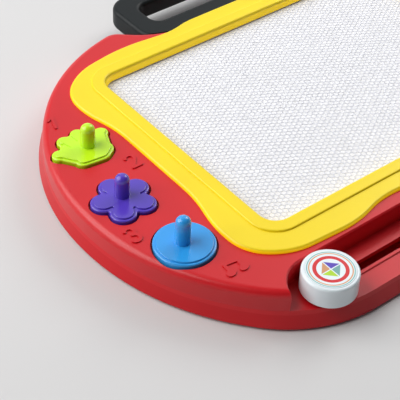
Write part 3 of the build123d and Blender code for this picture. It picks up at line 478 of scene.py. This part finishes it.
class BOARD_OT_screen(Operator):
    """Build the screen's honeycomb and finish its film, gasket and back sheet"""

    bl_idname = "board.screen"
    bl_label = "Screen"

    def execute(self, context):
        colours = context.scene.board_colours
        sizes = context.scene.board_screen
        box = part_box("honeycomb_core")
        top = box[1].z
        look = Finish("screen_cells")
        # The walls show from three quarters of the dip up to just under their tops
        wall = look.axes()[2].ramp(top - sizes.dip * 0.75, top - sizes.dip * 0.05)
        cloud = look.noise(260.0, 2.0).ramp(0.35, 0.65)
        fluid = look.blend(cloud, shade(colours.fluid, 0.95), shade(colours.fluid, 1.03))
        material = look.finish(
            Base_Color=look.blend(wall, fluid, shade(colours.cell)),
            Roughness=0.42 - wall * 0.12,
            Normal=look.bump(look.noise(900.0, 2.0), 0.02 * MM, 0.4),
        )
        corners, faces = cell_mesh(box, sizes.pitch, sizes.wall, sizes.dip, sizes.margin)
        cells = new_piece("screen_cells", corners, faces, material, "board")
        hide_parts("honeycomb_core")

        film = Finish("screen_film")
        clear = film.finish(
            Base_Color=shade(colours.film),
            Roughness=0.16 + film.noise(240.0, 3.0) * 0.10,
            Alpha=0.14,
            IOR=1.5,
            Normal=film.bump(film.noise(500.0, 2.0), 0.01 * MM, 0.3),
        )
        dress(clear, "screen_front_sheet")
        sheet = moulded("back_sheet_white", colours.fluid, roughness=0.30, depth=0.006)
        dress(sheet, "screen_back_sheet")
        gasket = moulded("gasket_grey", colours.gasket, roughness=0.60, depth=0.03)
        dress(gasket, "screen_gasket")
        return {"FINISHED"}


class BOARD_OT_stamps(Operator):
    """Finish the three stamps and the magnets under them"""

    bl_idname = "board.stamps"
    bl_label = "Stamps"

    def execute(self, context):
        colours = context.scene.board_colours
        stamps = {"hand": colours.lime, "flower": colours.purple, "disc": colours.blue}
        for name, colour in stamps.items():
            glossy = moulded(f"{name}_plastic", colour, roughness=0.19, depth=0.008, coat=0.35)
            dress(glossy, f"{name}_stamp")
        magnet = moulded(
            "magnet_sheet", colours.magnet, roughness=0.62, depth=0.05, grain=3000.0
        )
        dress(magnet, "disc_magnet", "flower_magnet", "hand_magnet", "eraser_magnet")
        return {"FINISHED"}


class BOARD_OT_eraser(Operator):
    """Finish the eraser's knob, its printed label and what it drags under the screen"""

    bl_idname = "board.eraser"
    bl_label = "Eraser"

    def execute(self, context):
        colours = context.scene.board_colours
        sizes = context.scene.board_label
        knob = moulded(
            "knob_white", colours.white, roughness=0.24, depth=0.010, coat=0.3, pull=0.02
        )
        dress(knob, "eraser_knob")

        low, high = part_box("knob_label")
        middle = (low + high) / 2
        label = Finish("knob_print")
        along, across, _ = label.axes()
        x = along - middle.x
        y = across - middle.y
        reach = (x * x + y * y).root()
        white = shade(colours.white, 1.04)
        teal = reach.band(sizes.teal_ring, sizes.ring_edge)
        orange = reach.band(sizes.orange_ring, sizes.ring_edge)
        red = reach.band(sizes.red_ring, sizes.edge)
        paint = label.blend(teal, white, shade(colours.teal))
        paint = label.blend(orange, paint, shade(colours.orange))
        paint = label.blend(red, paint, shade(colours.red, 1.1))
        # The diamond is four quarters of different colours with gaps along both axes
        diamond = 1 - (abs(x) + abs(y)).step(sizes.diamond, sizes.edge)
        quarters = abs(x).step(sizes.gap, sizes.edge) * abs(y).step(sizes.gap, sizes.edge)
        right, upper = x.step(0.0, sizes.edge), y.step(0.0, sizes.edge)
        top = label.blend(right, shade(colours.orange, 0.9), shade(colours.purple))
        bottom = label.blend(right, shade(colours.lime, 0.8), shade(colours.teal, 0.8))
        paint = label.blend(diamond * quarters, paint, label.blend(upper, bottom, top))
        printed = label.finish(
            Base_Color=paint,
            Roughness=0.28 + label.noise(200.0) * 0.06,
            Normal=label.bump(label.noise(1800.0), 0.008 * MM, 0.4),
            Coat_Weight=0.3,
            Coat_Roughness=0.1,
        )
        dress(printed, "knob_label")

        inner = moulded("inner_plastic", colours.inner, roughness=0.42, depth=0.03)
        dress(inner, "eraser_carriage", "eraser_beam", "front_rail", "back_rail", "panel_retainer")
        return {"FINISHED"}


class BOARD_OT_pen(Operator):
    """Finish the pen"""

    bl_idname = "board.pen"
    bl_label = "Pen"

    def execute(self, context):
        colours = context.scene.board_colours
        blue = moulded("pen_blue", colours.blue, roughness=0.28, depth=0.012, coat=0.2)
        yellow = moulded("pen_yellow", colours.yellow, roughness=0.30, depth=0.012, coat=0.2)
        dress(blue, "pen_barrel")
        dress(yellow, "pen_nose", "pen_cap")
        return {"FINISHED"}


class BOARD_OT_handle(Operator):
    """Finish the carry handle and the feet"""

    bl_idname = "board.handle"
    bl_label = "Handle and feet"

    def execute(self, context):
        colours = context.scene.board_colours
        charcoal = moulded(
            "handle_charcoal",
            colours.charcoal,
            roughness=0.44,
            depth=0.05,
            grain=900.0,
            specular=0.28,
        )
        rubber = moulded("foot_rubber", colours.rubber, roughness=0.75, depth=0.08, grain=800.0)
        dress(charcoal, "handle_upper", "handle_lower")
        dress(rubber, "rubber_feet")
        return {"FINISHED"}


class BOARD_OT_screws(Operator):
    """Finish the screws and the pen's magnet"""

    bl_idname = "board.screws"
    bl_label = "Screws"

    def execute(self, context):
        colours = context.scene.board_colours
        steel = Finish("zinc_steel")
        streaks = steel.add(
            "ShaderNodeMapping", values={"Vector": steel.place, "Scale": (1.0, 1.0, 9.0)}
        )
        grain = steel.add(
            "ShaderNodeTexNoise", values={"Vector": streaks, "Scale": 700.0, "Detail": 3.0}
        )
        zinc = steel.finish(
            Base_Color=steel.blend(grain, shade(colours.steel_dark), shade(colours.steel_light)),
            Metallic=1.0,
            Roughness=0.26 + grain * 0.16,
            Normal=steel.bump(grain, 0.01 * MM, 0.4),
        )
        dress(
            zinc,
            "casing_screws",
            "handle_screws",
            "retainer_screws",
            "knob_screw",
            "beam_screw",
            "pen_magnet",
        )
        return {"FINISHED"}


def lamp(name, place, width, colour, power):
    """Square area lamp at a place, turned towards the board."""
    data = bpy.data.lights.new(name, "AREA")
    data.shape = "SQUARE"
    data.size = width
    data.energy = power
    data.color = colour
    thing = bpy.data.objects.new(name, data)
    thing.location = place
    thing.rotation_mode = "QUATERNION"
    thing.rotation_quaternion = (Vector(LAMP_AIM) - Vector(place)).to_track_quat("-Z", "Y")
    bpy.context.scene.collection.objects.link(thing)


def floor_mesh(span, rise):
    """Square floor with four walls round it, faces inwards.

    Corner (i, j, k), each 0 or 1, lies at (-span or span, -span or span, 0 or rise) and has the
    number 4 i + 2 j + k.
    """
    side = np.array([-span, span])
    grid = np.meshgrid(side, side, np.array([0.0, rise]), indexing="ij")
    corners = np.stack(grid, axis=-1).reshape(-1, 3)
    faces = [(0, 4, 6, 2), (0, 1, 5, 4), (4, 5, 7, 6), (6, 7, 3, 2), (2, 3, 1, 0)]
    mesh = bpy.data.meshes.new("floor")
    mesh.from_pydata(corners.tolist(), [], faces)
    return mesh


def floor_finish(stage):
    """Pale paper, lit near the board; further out it fades to the backdrop's own tone."""
    look = Finish("floor_paper")
    tone = look.blend(look.noise(3.0), shade(stage.floor_dark), shade(stage.floor_light))
    x, y, _ = look.axes()
    far = (x * x + y * y).root().ramp(*stage.fade)
    seen, mirrored, refracted = [
        look.add("ShaderNodeLightPath", output=f"Is {ray} Ray")
        for ray in ("Camera", "Glossy", "Transmission")
    ]
    return look.finish(
        Base_Color=look.blend(far, tone, BLACK),
        Roughness=0.85,
        Emission_Color=look.blend(
            far * (seen + mirrored + refracted), BLACK, shade(stage.backdrop)
        ),
        Emission_Strength=1.0,
    )


class BOARD_OT_stage(Operator):
    """Build the floor with its walls, the lamps, the even light and the camera"""

    bl_idname = "board.stage"
    bl_label = "Stage"

    def execute(self, context):
        scene = context.scene
        stage = scene.board_stage
        mesh = floor_mesh(stage.span, stage.rise)
        mesh.materials.append(floor_finish(stage))
        floor = bpy.data.objects.new("floor", mesh)
        scene.collection.objects.link(floor)

        for name, place, width, colour in LAMPS:
            lamp(name, place, width, colour, getattr(stage, name))
        world = bpy.data.worlds.new("studio")
        world.use_nodes = True
        sky = world.node_tree.nodes["Background"].inputs
        sky["Color"].default_value = shade(stage.sky_colour)
        sky["Strength"].default_value = stage.sky
        scene.world = world
        scene.view_settings.view_transform = "Standard"

        heading, height, roll = stage.azimuth, stage.elevation, stage.roll
        ahead = Vector((-sin(heading) * cos(height), cos(heading) * cos(height), -sin(height)))
        level = Vector((cos(heading), sin(heading), 0.0))
        upright = level.cross(ahead)
        right = level * cos(roll) + upright * sin(roll)
        up = upright * cos(roll) - level * sin(roll)
        data = bpy.data.cameras.new("camera")
        data.lens = stage.lens
        data.sensor_width = SENSOR_WIDTH
        camera = bpy.data.objects.new("camera", data)
        place = Vector(stage.target) - ahead * stage.distance
        turn = Matrix((right, up, -ahead)).transposed().to_4x4()
        camera.matrix_world = Matrix.Translation(place) @ turn
        scene.collection.objects.link(camera)
        scene.camera = camera
        return {"FINISHED"}


class BOARD_PT_panel(Panel):
    """Buttons and settings of the drawing board"""

    bl_label = "Drawing board"
    bl_space_type = "VIEW_3D"
    bl_region_type = "UI"
    bl_category = "Drawing board"

    def draw(self, context):
        for operator in operators:
            self.layout.operator(operator.bl_idname)
        for name, group in groups:
            box = self.layout.box()
            for key in group.__annotations__:
                box.prop(getattr(context.scene, name), key)


groups = (
    ("board_colours", BoardColours),
    ("board_screen", BoardScreen),
    ("board_label", BoardLabel),
    ("board_stage", BoardStage),
)
operators = (
    BOARD_OT_casing,
    BOARD_OT_frame,
    BOARD_OT_screen,
    BOARD_OT_stamps,
    BOARD_OT_eraser,
    BOARD_OT_pen,
    BOARD_OT_handle,
    BOARD_OT_screws,
    BOARD_OT_stage,
)


def register():
    """Registers the settings, the operators and the panel."""
    for name, group in groups:
        bpy.utils.register_class(group)
        setattr(bpy.types.Scene, name, PointerProperty(type=group))
    for cls in (*operators, BOARD_PT_panel):
        bpy.utils.register_class(cls)


def unregister():
    """Takes back all that register adds."""
    for cls in (BOARD_PT_panel, *reversed(operators)):
        bpy.utils.unregister_class(cls)
    for name, group in reversed(groups):
        delattr(bpy.types.Scene, name)
        bpy.utils.unregister_class(group)


def main():
    """Registers the add-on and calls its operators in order."""
    register()
    for operator in operators:
        call = operator.bl_idname.split(".")[1]
        getattr(bpy.ops.board, call)()


if __name__ == "__main__":
    main()
